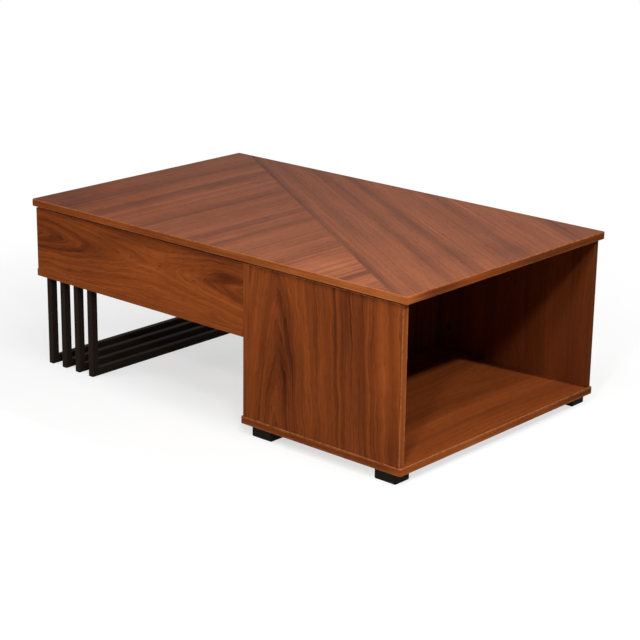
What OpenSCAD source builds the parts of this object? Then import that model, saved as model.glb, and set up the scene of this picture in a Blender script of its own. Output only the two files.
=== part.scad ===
// Lift top coffee table: a banded board carcass with a shallow storage box at
// one end, an open cabinet at the other, a steel tube leg, and one slab over
// both that rises and comes forward on two spring-loaded parallelogram lifts.
// Millimetres. Origin on the floor under the middle of the top, +Z up,
// +X towards the open end of the cabinet, -Y towards the person who lifts it.

/* [Top] */
// Length of the top along X
top_l = 1200; // [1150:10:1300]
// Depth of the top along Y
top_d = 740; // [700:10:800]
// Height of the closed table
table_h = 432; // [425:1:445]
// Thickness of every board
board_t = 18; // [16:1:18]
// Thickness of the veneer sheets on the top
veneer_t = 0.6; // [0.4:0.1:1]
// Corner radius of the thick band in plan
band_corner_r = 4; // [3:1:8]

/* [Carcass] */
// Dark gap that the bumpers leave under the top
bumper_h = 4; // [2:0.5:5]
// Underside of the storage box above the floor
box_z = 235; // [225:1:240]
// Height of the feet
foot_h = 25; // [20:1:30]
// Distance from the left end of the top to the partition
partition_from_end = 723; // [700:1:740]
// Overhang of the top over the aprons at the leg end
end_overhang = 10; // [6:1:14]
// Overhang of the top over the panels at the cabinet end
cabinet_overhang = 14; // [10:1:18]
// Overhang of the top over the front and the back
side_overhang = 5; // [4:1:8]
// How far the floor boards stand proud of the panels
floor_proud = 2; // [1:0.5:3]
// Thickness of the bands on the top and on the floor boards
thick_band = 2; // [1.5:0.5:2]
// Thickness of the bands on the upright boards
thin_band = 1; // [0.8:0.2:1.2]

/* [Leg and feet] */
// Side of the square leg tube
tube_w = 19; // [16:1:20]
// Wall of the leg tube
tube_wall = 1.2; // [1:0.1:2]
// Distance between neighbouring leg frames
tube_pitch = 50; // [45:1:55]
// Length of a foot along X
foot_l = 60; // [50:1:70]
// Depth of a foot along Y
foot_d = 48; // [40:1:60]

/* [Lift mechanism] */
// Distance between the two pivots of an arm
arm_l = 250; // [240:5:255]
// Angle of the closed arms above the horizontal
arm_rest = 10; // [8:1:14]
// How far the arms swing to the raised stop
arm_swing = 115; // [105:1:115]
// Distance between the pivots of the two arms of one lift
pivot_gap = 60; // [58:1:64]
// Height of the lower rear pivot above the storage floor
pivot_lift = 46; // [45:1:48]
// Place of the lower rear pivots along Y
pivot_y = -60; // [-80:5:-40]
// Radius of the spring lever on the rear arm
lever_r = 32; // [30:1:33]

/* [Hidden] */
$fn = 48;
gap = 0.03; // clearance of a screw or dowel in its hole

// Heights
top_z = table_h - board_t;
panel_z = top_z - bumper_h;
box_floor_z = box_z + board_t;
cabinet_floor_z = foot_h + board_t;

// Places along X
end_x = -top_l / 2 + end_overhang;
box_x = end_x - floor_proud - 1;
part_x = -top_l / 2 + partition_from_end;
cab_x = part_x + board_t;
cab_end = top_l / 2 - cabinet_overhang;
cab_floor_x = part_x - 6;
cab_floor_end = cab_end + 6;

// Places along Y, given for the back and mirrored for the front
face_y = top_d / 2 - side_overhang;
inner_y = face_y - board_t;
mid_y = face_y - board_t / 2;
floor_y = face_y + floor_proud;

// Rounded arrises and small corners
thick_arris = 1.4;
thin_arris = 0.4;

// ---------------------------------------------------------------- helpers

function unit(v) = v / norm(v);
function turned(v, a) = [v[0] * cos(a) - v[1] * sin(a), v[0] * sin(a) + v[1] * cos(a)];
function polar(r, a) = [r * cos(a), r * sin(a)];

// One corner of an outline, c between p and n, rounded with radius r.
function corner(p, c, n, r, steps = 6) =
    let (a = unit(p - c), b = unit(n - c), half = acos(a * b) / 2)
    let (centre = c + unit(a + b) * r / sin(half))
    let (from = c + a * r / tan(half) - centre, to = c + b * r / tan(half) - centre)
    let (turn = (180 - 2 * half) * sign(cross(from, to)))
    [for (i = [0:steps]) centre + turned(from, turn * i / steps)];

// A closed outline with every corner rounded.
function rounded(pts, r) =
    let (n = len(pts))
    [for (i = [0:n - 1], p = corner(pts[(i + n - 1) % n], pts[i], pts[(i + 1) % n], r)) p];

// A box between two corners.
module block(x, y, z) {
    translate([x[0], y[0], z[0]]) cube([x[1] - x[0], y[1] - y[0], z[1] - z[0]]);
}

// A rectangle with round corners, in two dimensions.
module round_rect(x, y, r) {
    translate([x[0] + r, y[0]]) square([x[1] - x[0] - 2 * r, y[1] - y[0]]);
    translate([x[0], y[0] + r]) square([x[1] - x[0], y[1] - y[0] - 2 * r]);
    for (cx = [x[0] + r, x[1] - r], cy = [y[0] + r, y[1] - r])
        translate([cx, cy]) circle(r);
}

// A strip with round ends between two points, in two dimensions.
module link(p, q, r) {
    half = 0.998 * r;      // a hair narrower, so that its sides cross the circles
    translate(p) circle(r);
    translate(q) circle(r);
    translate(p) rotate(atan2(q[1] - p[1], q[0] - p[0]))
        translate([0, -half]) square([norm(q - p), 2 * half]);
}

// A flat plate lying in the YZ plane, from x = u for a thickness t.
module plate(u, t) {
    translate([u, 0, 0]) rotate([90, 0, 90]) linear_extrude(t) children();
}

// A round bar along X through the point p of the YZ plane.
module bar(p, r, u0, u1) {
    translate([u0, p[0], p[1]]) rotate([0, 90, 0]) cylinder(r = r, h = u1 - u0);
}

// Copies of the children at the front and at the back.
module front_and_back() {
    children();
    mirror([0, 1, 0]) children();
}

// A countersunk screw: head in the plane z = 0, shank down along -Z.
module screw(l, shank = 2, head = 4, grow = 0) {
    rotate_extrude()
        polygon([[0, grow], [head + grow, grow], [head + grow, 0], [shank + grow, -head + shank],
                 [shank + grow, -l + shank], [0, -l - grow]]);
}

// ------------------------------------------------------------ edge bands

// Section of a band: flat against the board, arrises rounded outside.
module band_section(t, w, r) {
    square([t - r, w]);
    translate([0, r]) square([t, w - 2 * r]);
    for (side = [r, w - r]) intersection() {
        translate([t - r, side]) circle(r);
        square([t, w]);
    }
}

// A straight band that starts at p. It faces out, its width goes across, and
// it runs along the cross product of the two.
module strip(p, out, across, l, t = thin_band, r = thin_arris) {
    run = cross(out, across);
    multmatrix([for (i = [0:2]) [out[i], across[i], run[i], p[i]]])
        linear_extrude(l) band_section(t, board_t, r);
}

// A quarter turn of the thick band round a corner centred on p.
module band_turn(p, a, z) {
    translate([p[0], p[1], z]) rotate([0, 0, a]) rotate_extrude(angle = 90)
        translate([band_corner_r - thick_band, 0])
            band_section(thick_band, board_t, thick_arris);
}

// The thick band along the front, the left end and the back of a lying
// board, and along its right end where that is free.
module lying_band(x, y, z, free_end = true) {
    c = band_corner_r;
    t = thick_band;
    x1 = free_end ? x[1] - c : x[1];
    for (side = [0, 1]) mirror([0, side, 0]) {
        strip([x1, t - y, z], [0, -1, 0], [0, 0, 1], x1 - x[0] - c, t, thick_arris);
        band_turn([x[0] + c, c - y], 180, z);
        if (free_end) band_turn([x[1] - c, c - y], 270, z);
    }
    strip([x[0] + t, c - y, z], [-1, 0, 0], [0, 0, 1], 2 * (y - c), t, thick_arris);
    if (free_end)
        strip([x[1] - t, y - c, z], [1, 0, 0], [0, 0, 1], 2 * (y - c), t, thick_arris);
}

// The board inside such a band, in plan.
module lying_core(x, y, free_end = true) {
    t = thick_band;
    r = band_corner_r - t;
    round_rect([x[0] + t, x[1] - t], [t - y, y - t], r);
    if (!free_end) translate([x[1] - t - r, t - y]) square([t + r, 2 * (y - t)]);
}

// ------------------------------------------- fittings inside the carcass

cam_r = 7.5;
cam_depth = 13;
cam_back = 24;  // from the end of the board to the middle of the cam
bolt_r = 3;
bolt_in = 11;   // depth of the bolt in the other board
dowel_r = 4;
dowel_half = 14;
dowel_gap = 32; // from a bolt to its dowel
confirmat_l = 50;
confirmat_r = 3.2;
confirmat_head = 5;

// A joint is [board with the cam, board with the bolt, place on the joint
// plane, turn that brings +X to the bolt's direction and +Z to the face the
// cam is set in, side of the bolt that the dowel is on].
box_rows = [box_floor_z + 32, panel_z - 32];
cabinet_rows = [cabinet_floor_z + 60, box_z - 25];
end_mid_x = end_x + board_t / 2;
floor_mid_z = box_z + board_t / 2;
up = [1, -1];   // towards the other joint of a pair
joints = concat(
    [for (i = [0, 1])
        ["front_apron", "partition", [part_x, -mid_y, box_rows[i]], [-90, 0, 0], -up[i]]],
    [for (i = [0, 1])
        ["rear_apron", "partition", [part_x, mid_y, box_rows[i]], [90, 0, 0], up[i]]],
    [for (i = [0, 1])
        ["end_apron", "front_apron", [end_mid_x, -inner_y, box_rows[i]], [-90, 0, -90], -up[i]]],
    [for (i = [0, 1])
        ["end_apron", "rear_apron", [end_mid_x, inner_y, box_rows[i]], [90, 0, 90], up[i]]],
    [for (y = [-250, 0, 250])
        ["storage_floor", "partition", [part_x, y, floor_mid_z], [180, 0, 0], 1]],
    [for (i = [0, 1])
        ["cabinet_front", "partition", [cab_x, -mid_y, cabinet_rows[i]], [90, 0, 180], up[i]]],
    [for (i = [0, 1])
        ["cabinet_back", "partition", [cab_x, mid_y, cabinet_rows[i]], [-90, 0, 180], -up[i]]]
);

// Long screws that hold the upright boards down on the floor boards:
// [floor board, upright board, place of the head].
long_screws = concat(
    [for (x = [-500, -230, 40], s = [-1, 1])
        ["storage_floor", s < 0 ? "front_apron" : "rear_apron", [x, s * mid_y, box_z]]],
    [for (y = [-150, 150]) ["storage_floor", "end_apron", [end_mid_x, y, box_z]]],
    [for (x = [240, 365, 490], s = [-1, 1])
        ["cabinet_floor", s < 0 ? "cabinet_front" : "cabinet_back", [x, s * mid_y, foot_h]]],
    [for (y = [-200, 0, 200]) ["cabinet_floor", "partition", [part_x + board_t / 2, y, foot_h]]]
);

module at_joint(j) {
    translate(j[2]) rotate(j[3]) children();
}

module cam_pocket() {
    translate([-cam_back, 0, board_t / 2 - cam_depth]) cylinder(r = cam_r, h = cam_depth + 1);
}

module cam_lock() {
    difference() {
        translate([-cam_back, 0, board_t / 2 - cam_depth])
            cylinder(r = cam_r - gap, h = cam_depth);
        translate([-cam_back, 0, 0]) rotate([0, 90, 0]) cylinder(r = bolt_r + 0.3, h = cam_r + 1);
        for (a = [0, 90]) translate([-cam_back, 0, board_t / 2]) rotate([0, 0, a])
            cube([9, 1.6, 3], center = true);
    }
}

// Round hole of a bolt or dowel through the joint plane.
module joint_bore(r, back, front) {
    translate([-back, 0, 0]) rotate([0, 90, 0]) cylinder(r = r, h = back + front);
}

// Everything that is drilled in one board of the carcass.
module carcass_holes(board) {
    for (j = joints) if (j[0] == board || j[1] == board) at_joint(j) {
        joint_bore(bolt_r, cam_back, bolt_in);
        translate([0, j[4] * dowel_gap, 0]) joint_bore(dowel_r, dowel_half + 1, dowel_half + 1);
        if (j[0] == board) cam_pocket();
    }
    for (s = long_screws) if (s[0] == board || s[1] == board)
        translate(s[2]) mirror([0, 0, 1])
            screw(confirmat_l, confirmat_r, confirmat_head, gap);
}

// ------------------------------------------------------------------- top

// Ends of the joint between the two veneer sheets, over the banded edge.
joint_back = [-561, 370];
joint_front = [557, -370];

module top_outline() {
    lying_core([-top_l / 2, top_l / 2], top_d / 2);
}

module top_core() {
    color("peru") difference() {
        translate([0, 0, top_z]) linear_extrude(board_t - veneer_t) top_outline();
        on_both_lifts() top_screw_holes();
    }
}

// One sheet: the part of the top on one side of the joint.
module veneer(side) {
    reach = side * 2 * top_l;
    translate([0, 0, table_h - veneer_t]) linear_extrude(veneer_t) intersection() {
        top_outline();
        polygon([joint_back, joint_front, joint_front + [reach, 0], joint_back + [reach, 0]]);
    }
}

module top_veneer_front() { color("saddlebrown") veneer(-1); }
module top_veneer_rear() { color("sienna") veneer(1); }

module top_edge_band() {
    color("chocolate") lying_band([-top_l / 2, top_l / 2], top_d / 2, top_z);
}

// --------------------------------------------------------------- carcass

t1 = thin_band;
up_z = [0, 0, 1];

module side_apron(name) {
    difference() {
        block([end_x + t1, part_x], [-face_y, -inner_y], [box_floor_z, panel_z - t1]);
        mirror([0, name == "rear_apron" ? 1 : 0, 0]) carcass_holes(name);
    }
}

module side_apron_band() {
    strip([part_x, -face_y, panel_z - t1], up_z, [0, 1, 0], part_x - end_x - t1);
    strip([end_x + t1, -inner_y, box_floor_z], [-1, 0, 0], [0, -1, 0], panel_z - box_floor_z);
}

module front_apron() { color("saddlebrown") side_apron("front_apron"); }
module rear_apron() { color("saddlebrown") mirror([0, 1, 0]) side_apron("rear_apron"); }
module front_apron_band() { color("chocolate") side_apron_band(); }
module rear_apron_band() { color("chocolate") mirror([0, 1, 0]) side_apron_band(); }

module end_apron() {
    color("saddlebrown") difference() {
        block([end_x, end_x + board_t], [-inner_y, inner_y], [box_floor_z, panel_z - t1]);
        carcass_holes("end_apron");
        left_lift() wall_screw_holes();
    }
}

module end_apron_band() {
    color("chocolate") strip([end_x, -inner_y, panel_z - t1], up_z, [1, 0, 0], 2 * inner_y);
}

module storage_floor() {
    color("saddlebrown") difference() {
        translate([0, 0, box_z]) linear_extrude(board_t)
            lying_core([box_x, part_x], floor_y, false);
        carcass_holes("storage_floor");
        leg_screw_places() screw(leg_screw_l, grow = gap);
        on_both_lifts() floor_screw_holes();
    }
}

module storage_floor_band() {
    color("chocolate") lying_band([box_x, part_x], floor_y, box_z, false);
}

module partition() {
    color("saddlebrown") difference() {
        block([part_x, cab_x], [t1 - face_y, face_y - t1], [cabinet_floor_z, panel_z - t1]);
        carcass_holes("partition");
        right_lift() wall_screw_holes();
    }
}

module partition_band() {
    color("chocolate") {
        for (side = [0, 1]) mirror([0, side, 0])
            strip([part_x, t1 - face_y, cabinet_floor_z], [0, -1, 0], [1, 0, 0],
                  panel_z - cabinet_floor_z);
        strip([part_x, t1 - face_y, panel_z - t1], up_z, [1, 0, 0], 2 * (face_y - t1));
    }
}

module cabinet_side(name) {
    difference() {
        block([cab_x, cab_end - t1], [-face_y, -inner_y], [cabinet_floor_z, panel_z - t1]);
        mirror([0, name == "cabinet_back" ? 1 : 0, 0]) carcass_holes(name);
    }
}

module cabinet_side_band() {
    strip([cab_end - t1, -face_y, panel_z - t1], up_z, [0, 1, 0], cab_end - t1 - cab_x);
    strip([cab_end - t1, -face_y, cabinet_floor_z], [1, 0, 0], [0, 1, 0],
          panel_z - cabinet_floor_z);
}

module cabinet_front() { color("saddlebrown") cabinet_side("cabinet_front"); }
module cabinet_back() { color("saddlebrown") mirror([0, 1, 0]) cabinet_side("cabinet_back"); }
module cabinet_front_band() { color("chocolate") cabinet_side_band(); }
module cabinet_back_band() { color("chocolate") mirror([0, 1, 0]) cabinet_side_band(); }

module cabinet_floor() {
    color("saddlebrown") difference() {
        translate([0, 0, foot_h]) linear_extrude(board_t)
            lying_core([cab_floor_x, cab_floor_end], floor_y);
        carcass_holes("cabinet_floor");
        for (f = feet) at_foot(f) foot_screw_places() screw(foot_screw_l, grow = gap);
    }
}

module cabinet_floor_band() {
    color("chocolate") lying_band([cab_floor_x, cab_floor_end], floor_y, foot_h);
}

// Carcass fittings
module cam_locks() { color("silver") for (j = joints) at_joint(j) cam_lock(); }

// Turned bolt along X: a threaded end with a collar in one board, and a shank
// with a neck and a round head that the cam of the other board grips.
module cam_bolt() {
    r = bolt_r - gap;
    head_x = 3 - cam_back;
    neck_r = 1.7;
    rotate([0, 90, 0]) rotate_extrude()
        polygon([[0, head_x], [0.55 * r, head_x], [0.87 * r, head_x + 0.7], [r, head_x + 1.9],
                 [0.87 * r, head_x + 3.1], [neck_r, head_x + 4], [neck_r, head_x + 8],
                 [r, head_x + 9.5], [r, -1.4], [r - 0.5, -1], [r - 0.5, -0.2], [r, 0],
                 [r, bolt_in - 1.6], [r - 1.2, bolt_in - 0.2], [0, bolt_in - 0.2]]);
}

module cam_bolts() { color("silver") for (j = joints) at_joint(j) cam_bolt(); }

// Dowel along X with bevelled ends.
module dowel() {
    r = dowel_r - gap;
    bevel = 1.2;
    rotate([0, 90, 0]) rotate_extrude()
        polygon([[0, -dowel_half], [r - bevel, -dowel_half], [r, bevel - dowel_half],
                 [r, dowel_half - bevel], [r - bevel, dowel_half], [0, dowel_half]]);
}

module dowels() {
    color("burlywood") for (j = joints) at_joint(j) translate([0, j[4] * dowel_gap, 0]) dowel();
}

module carcass_screws() {
    color("silver") for (s = long_screws)
        translate(s[2]) mirror([0, 0, 1]) screw(confirmat_l, confirmat_r, confirmat_head);
}

// Round pads that the closed top rests on: places along X, and the same
// front and back.
bumper_r = 5;
bumper_places = [-540, -220, 80, 180, 540];

module bumpers() {
    color("dimgray") for (x = bumper_places) front_and_back()
        translate([x, -mid_y, panel_z]) rotate_extrude()
            polygon([[0, 0], [bumper_r, 0], [bumper_r - 0.6, bumper_h], [0, bumper_h]]);
}

// ------------------------------------------------------------------ feet

foot_in_x = 30;  // from the left end of the cabinet floor to a foot
foot_in_right = 18;
foot_in_y = 7;   // from the front of the cabinet floor to a foot
foot_r = 2.5;
foot_screw_l = 30;
foot_screw_deep = 10;
foot_screw_pitch = 32;
left_foot_x = cab_floor_x + foot_in_x;
right_foot_x = cab_floor_end - foot_in_right - foot_l;
near_foot_y = foot_in_y - floor_y;
far_foot_y = floor_y - foot_in_y - foot_d;
feet = [[left_foot_x, near_foot_y], [right_foot_x, near_foot_y],
        [left_foot_x, far_foot_y], [right_foot_x, far_foot_y]];

module at_foot(f) { translate([f[0], f[1], 0]) children(); }

// Two screws along the foot, heads sunk in its underside.
module foot_screw_places() {
    for (s = [-1, 1]) translate([foot_l / 2 + s * foot_screw_pitch / 2, foot_d / 2, foot_screw_deep])
        mirror([0, 0, 1]) children();
}

// A moulded block with round corners, a chamfered tread and screw wells.
module foot(i) {
    color("#1c1a19") at_foot(feet[i]) difference() {
        union() {
            translate([0, 0, 1.5]) linear_extrude(foot_h - 1.5)
                round_rect([0, foot_l], [0, foot_d], foot_r);
            linear_extrude(1.5) round_rect([1, foot_l - 1], [1, foot_d - 1], foot_r);
        }
        foot_screw_places() {
            screw(foot_screw_l, grow = gap);
            cylinder(r = 5, h = foot_screw_deep + 1);
        }
    }
}

module foot_front_left() { foot(0); }
module foot_front_right() { foot(1); }
module foot_rear_left() { foot(2); }
module foot_rear_right() { foot(3); }

module foot_screws() {
    color("silver") for (f = feet) at_foot(f) foot_screw_places() screw(foot_screw_l);
}

// ------------------------------------------------------------- metal leg

tube_r = 3;
leg_x = end_x + 5.4;                 // left side of the first frame
leg_y = face_y - 21.3;               // outer face of the posts
leg_plate_t = 4;
leg_plate_w = 46;
post_h = box_z - leg_plate_t;
leg_screw_l = 17;
frames = [for (i = [0:3]) leg_x + i * tube_pitch];
leg_end_x = frames[3] + tube_w;

module tube_section() {
    w = tube_wall;
    difference() {
        round_rect([0, tube_w], [0, tube_w], tube_r);
        round_rect([w, tube_w - w], [w, tube_w - w], tube_r - w);
    }
}

// The half space under the mitre at the lower front corner, over one frame.
module mitre() {
    big = 2 * tube_w;
    plate(-1, tube_w + 2)
        polygon([[-big, -big], [big, -big], [big, big]]);
}

module post(x) {
    translate([x, -leg_y, 0]) difference() {
        linear_extrude(post_h) tube_section();
        mitre();
    }
}

module floor_bar(x) {
    difference() {
        translate([x, leg_y, 0]) rotate([90, 0, 0]) linear_extrude(2 * leg_y) tube_section();
        front_and_back() translate([x, -leg_y, 0]) difference() {
            plate(-1, tube_w + 2)
                translate([-tube_w, -1]) square(2 * tube_w);
            mitre();
        }
    }
}

// A flat bar across the tops of four posts, with screw holes between them.
module leg_plate() {
    difference() {
        translate([0, 0, post_h]) linear_extrude(leg_plate_t)
            round_rect([leg_x, leg_end_x], [-leg_y, leg_plate_w - leg_y], tube_r);
        leg_screw_places(false) screw(leg_screw_l, grow = gap);
    }
}

// Screws go up through the plates, between the posts.
module leg_screw_places(both = true) {
    for (i = [0:2], y = [tube_w / 2, leg_plate_w - 10], side = both ? [0, 1] : [0])
        mirror([0, side, 0])
            translate([frames[i] + (tube_w + tube_pitch) / 2, y - leg_y, post_h])
                mirror([0, 0, 1]) children();
}

module leg_front_posts() { color("#1f1b19") for (x = frames) post(x); }
module leg_rear_posts() { color("#1f1b19") mirror([0, 1, 0]) for (x = frames) post(x); }
module leg_floor_bars() { color("#1f1b19") for (x = frames) floor_bar(x); }
module leg_front_plate() { color("#1f1b19") leg_plate(); }
module leg_rear_plate() { color("#1f1b19") mirror([0, 1, 0]) leg_plate(); }
module leg_screws() { color("dimgray") leg_screw_places() screw(leg_screw_l); }

// -------------------------------------------------------- lift mechanism
//
// One lift, seen from the middle of the box: u is the distance from the wall
// it is screwed to, and the outlines below are drawn in the YZ plane with the
// lower rear pivot at [0, 0]. All four arms are parallel and equally long, so
// the top stays level on its way up and forward.

steel_t = 2.5;      // brackets
arm_t = 3;
arm_w = 26;
washer_t = 1.5;
pivot_r = 4;
running = 0.05;     // radial clearance of an arm on its rivet
arm_u = steel_t + washer_t;
top_u = arm_u + arm_t + washer_t;
spring_u = arm_u + 12;
pin_r = 3;
pin_end = spring_u + 8;
washer_r = 9;
spring_reach = 134; // from the lever's pin to the anchor
stop_along = 45;    // from the front pivot to the stop, along the raised arm

// Pivots of the closed lift
pivot_gap_angle = 157.5;    // from the rear pivot to the front one
front_pivot = polar(pivot_gap, pivot_gap_angle);
arm_vector = polar(arm_l, arm_rest);
base_pivots = [[0, 0], front_pivot];
top_pivots = [arm_vector, arm_vector + front_pivot];
pivot_z = box_floor_z + pivot_lift;
floor_v = -pivot_lift;
slab_v = top_z - pivot_z;

// The spring lever stands level with the anchor both closed and raised.
lever = polar(lever_r, 270 - arm_swing / 2);
anchor = lever + [spring_reach, 0];

// Raised stop, met by the edge of the front arm
raised = arm_rest + arm_swing;
stop_r = 4;
stop_pin = front_pivot + polar(stop_along, raised) + polar(arm_w / 2 + stop_r + 0.3, raised + 90);

module left_lift() {
    translate([end_x + board_t, pivot_y, pivot_z]) children();
}

module right_lift() {
    translate([part_x, pivot_y, pivot_z]) mirror([1, 0, 0]) children();
}

module on_both_lifts() {
    left_lift() children();
    right_lift() children();
}

// Base bracket: a plate on the wall with a tower for the front pivot and the
// stop, a tail for the spring anchor, and a flange on the storage floor.
base_outline = [[-118, floor_v], [124, floor_v], [124, floor_v + 40], [62, floor_v + 44],
                [22, 20], [-30, 40], [-80, 66], [-112, 66], [-118, 30]];
flange_w = 24;
wall_screws = [[-104, 12], [-82, -26], [36, -8], [114, -36]];
floor_screws = [-96, 0, 96];
small_screw_l = 15;

module wall_screw_places() {
    for (p = wall_screws) translate([steel_t, p[0], p[1]]) rotate([0, 90, 0]) children();
}

module floor_screw_places() {
    for (y = floor_screws) translate([flange_w - 8, y, floor_v + steel_t]) children();
}

module wall_screw_holes() { wall_screw_places() screw(small_screw_l, grow = gap); }
module floor_screw_holes() { floor_screw_places() screw(small_screw_l, grow = gap); }

module base_bracket() {
    color("#2a2a2c") difference() {
        union() {
            plate(0, steel_t) polygon(rounded(base_outline, 7));
            translate([0, 0, floor_v]) linear_extrude(steel_t)
                round_rect([0, flange_w], [-110, 116], 2);
        }
        for (p = base_pivots) bar(p, pivot_r, -1, steel_t + 1);
        bar(stop_pin, stop_r, -1, steel_t + 1);
        bar(anchor, pin_r, -1, steel_t + 1);
        plate(-1, steel_t + 2) link([62, -24], [84, -26], 6);
        wall_screw_holes();
        floor_screw_holes();
    }
}

// Arm: a flat strip with a pressed rib, bored at both ends.
module arm(p, lever_end = undef) {
    tip = p + arm_vector;
    rib = [p + polar(32, arm_rest), p + polar(arm_l - 32, arm_rest)];
    color("#3a3a3d") difference() {
        union() {
            plate(arm_u, arm_t) link(p, tip, arm_w / 2);
            plate(arm_u + arm_t, 0.8) link(rib[0], rib[1], 5);
            if (lever_end != undef) plate(arm_u, arm_t) link(p, lever_end, 8);
        }
        plate(arm_u - 1, 1.8) link(rib[0], rib[1], 4);
        for (q = [p, tip]) bar(q, pivot_r + running, arm_u - 1, arm_u + arm_t + 1);
        if (lever_end != undef) bar(lever_end, pin_r, arm_u - 1, arm_u + arm_t + 1);
    }
}

// Top bracket: a plate that hangs from a flange screwed under the slab.
top_outline_low = [[17, -17], [-12, -17], [-74, 6], [-82, 30], [-104, slab_v - arm_vector[1]],
                   [44, slab_v - arm_vector[1]], [20, 4]];
top_flange_w = 34;
top_screws = [[16, -92], [24, -58], [24, -2], [16, 32]];

module top_screw_places() {
    for (s = top_screws) translate([top_u + s[0], arm_vector[0] + s[1], slab_v - steel_t])
        mirror([0, 0, 1]) children();
}

module top_screw_holes() { top_screw_places() screw(small_screw_l, grow = gap); }

module top_bracket() {
    color("#2a2a2c") difference() {
        union() {
            plate(top_u, steel_t) translate(arm_vector) polygon(rounded(top_outline_low, 6));
            translate([0, arm_vector[0], slab_v - steel_t]) linear_extrude(steel_t)
                round_rect([top_u, top_u + top_flange_w], [-104, 44], 2);
        }
        for (p = top_pivots) bar(p, pivot_r, top_u - 1, top_u + steel_t + 1);
        plate(top_u - 1, steel_t + 2) translate(arm_vector) link([-58, 44], [-8, 40], 9);
        top_screw_holes();
    }
}

// A rivet between two places along u, with a domed head at the first.
module rivet(p, u0, u1, toward) {
    head_t = 1.7;
    head_r = 8;
    translate([u0, p[0], p[1]]) rotate([0, toward * 90, 0]) rotate_extrude() {
        square([pivot_r, u1]);
        translate([0, -head_t]) polygon([[0, 0], [head_r - 2, 0], [head_r - 0.6, 0.5],
                                         [head_r, head_t], [0, head_t]]);
    }
}

module washer(p, u) {
    difference() {
        bar(p, washer_r, u, u + washer_t);
        bar(p, pivot_r + 2 * running, u - 1, u + washer_t + 1);
    }
}

// A pin that holds a spring end, with a collar outside it.
module spring_pin(p, u0) {
    bar(p, pin_r, u0, pin_end);
    bar(p, pin_r + 1.6, pin_end, pin_end + 1.5);
}

module base_pivot_rivets() {
    color("silver") on_both_lifts() for (p = base_pivots)
        rivet(p, top_u, top_u, -1);
}

module top_pivot_rivets() {
    color("silver") on_both_lifts() for (p = top_pivots)
        rivet(p, steel_t, top_u, 1);
}

module base_washers() {
    color("gainsboro") on_both_lifts() for (p = base_pivots, u = [steel_t, arm_u + arm_t])
        washer(p, u);
}

module top_washers() {
    color("gainsboro") on_both_lifts() for (p = top_pivots, u = [steel_t, arm_u + arm_t])
        washer(p, u);
}

module stop_pins() {
    color("silver") on_both_lifts() {
        bar(stop_pin, stop_r, 0, arm_u + arm_t + 1);
        bar(stop_pin, stop_r + 2, arm_u + arm_t + 1, arm_u + arm_t + 2.5);
    }
}

module spring_anchor_studs() { color("silver") on_both_lifts() spring_pin(anchor, 0); }
module left_spring_stud() { color("silver") left_lift() spring_pin(lever, arm_u); }
module right_spring_stud() { color("silver") right_lift() spring_pin(lever, arm_u); }
module base_bracket_screws() {
    color("silver") on_both_lifts() {
        wall_screw_places() screw(small_screw_l);
        floor_screw_places() screw(small_screw_l);
    }
}
module top_bracket_screws() {
    color("silver") on_both_lifts() top_screw_places() screw(small_screw_l);
}

module left_base_bracket() { left_lift() base_bracket(); }
module right_base_bracket() { right_lift() base_bracket(); }
module left_rear_arm() { left_lift() arm([0, 0], lever); }
module right_rear_arm() { right_lift() arm([0, 0], lever); }
module left_front_arm() { left_lift() arm(front_pivot); }
module right_front_arm() { right_lift() arm(front_pivot); }
module left_top_bracket() { left_lift() top_bracket(); }
module right_top_bracket() { right_lift() top_bracket(); }

// Extension spring, drawn stretched between the lever and the anchor.
wire_r = 1.1;
coil_r = 6;
coils = 24;
loop_r = pin_r + wire_r + 0.3;
coil_y0 = 12;                          // from a pin to the first coil
steps = 14;                            // rings in a turn
sides = 6;                             // sides of the wire

coil_l = spring_reach - 2 * coil_y0;

function bezier(a, b, c, d, t) =
    pow(1 - t, 3) * a + 3 * t * pow(1 - t, 2) * b + 3 * t * t * (1 - t) * c + pow(t, 3) * d;

// Half of a spring end: the loop round the pin, then the lead to the coil.
function spring_end() = concat(
    [for (a = [40:20:320]) [0, loop_r * cos(a), loop_r * sin(a)]],
    [for (t = [0.25:0.25:0.75]) bezier([0, loop_r * cos(320), loop_r * sin(320)],
        [0, loop_r * cos(320) + 3, -1], [-4, coil_y0 - 0.6, -coil_r], [0, coil_y0, -coil_r], t)]);

function coil_turns() = [for (i = [0:coils * steps])
    let (a = i * 360 / steps - 90) [coil_r * cos(a), coil_y0 + coil_l * i / (coils * steps),
                                    coil_r * sin(a)]];

// The far end is the near one turned half round the vertical.
function far_end() = let (e = spring_end(), n = len(e))
    [for (i = [n - 1:-1:0]) [-e[i][0], spring_reach - e[i][1], e[i][2]]];

spring_path = concat(spring_end(), coil_turns(), far_end());

function direction(path, i) =
    unit(path[min(i + 1, len(path) - 1)] - path[max(i - 1, 0)]);
function flatten(v, along) = unit(v - (v * along) * along);

// A side vector for each ring, carried along the wire without twisting.
function side_vectors(path) =
    [for (i = 0, v = flatten([1, 0, 0.01], direction(path, 0)); i < len(path);
          i = i + 1, v = i < len(path) ? flatten(v, direction(path, i)) : v) v];

module wire(path, r) {
    v = side_vectors(path);
    n = len(path);
    points = [for (i = [0:n - 1]) let (w = cross(direction(path, i), v[i]))
        for (k = [0:sides - 1]) let (a = k * 360 / sides)
            path[i] + r * (cos(a) * v[i] + sin(a) * w)];
    skin = [for (i = [0:n - 2], k = [0:sides - 1]) let (m = (k + 1) % sides)
        [i * sides + k, (i + 1) * sides + k, (i + 1) * sides + m, i * sides + m]];
    caps = [[for (k = [0:sides - 1]) k],
            [for (k = [sides - 1:-1:0]) (n - 1) * sides + k]];
    polyhedron(points, concat(skin, caps));
}

module spring() {
    color("darkgray") translate([spring_u, lever[0], lever[1]]) wire(spring_path, wire_r);
}

module left_spring() { left_lift() spring(); }
module right_spring() { right_lift() spring(); }

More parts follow.
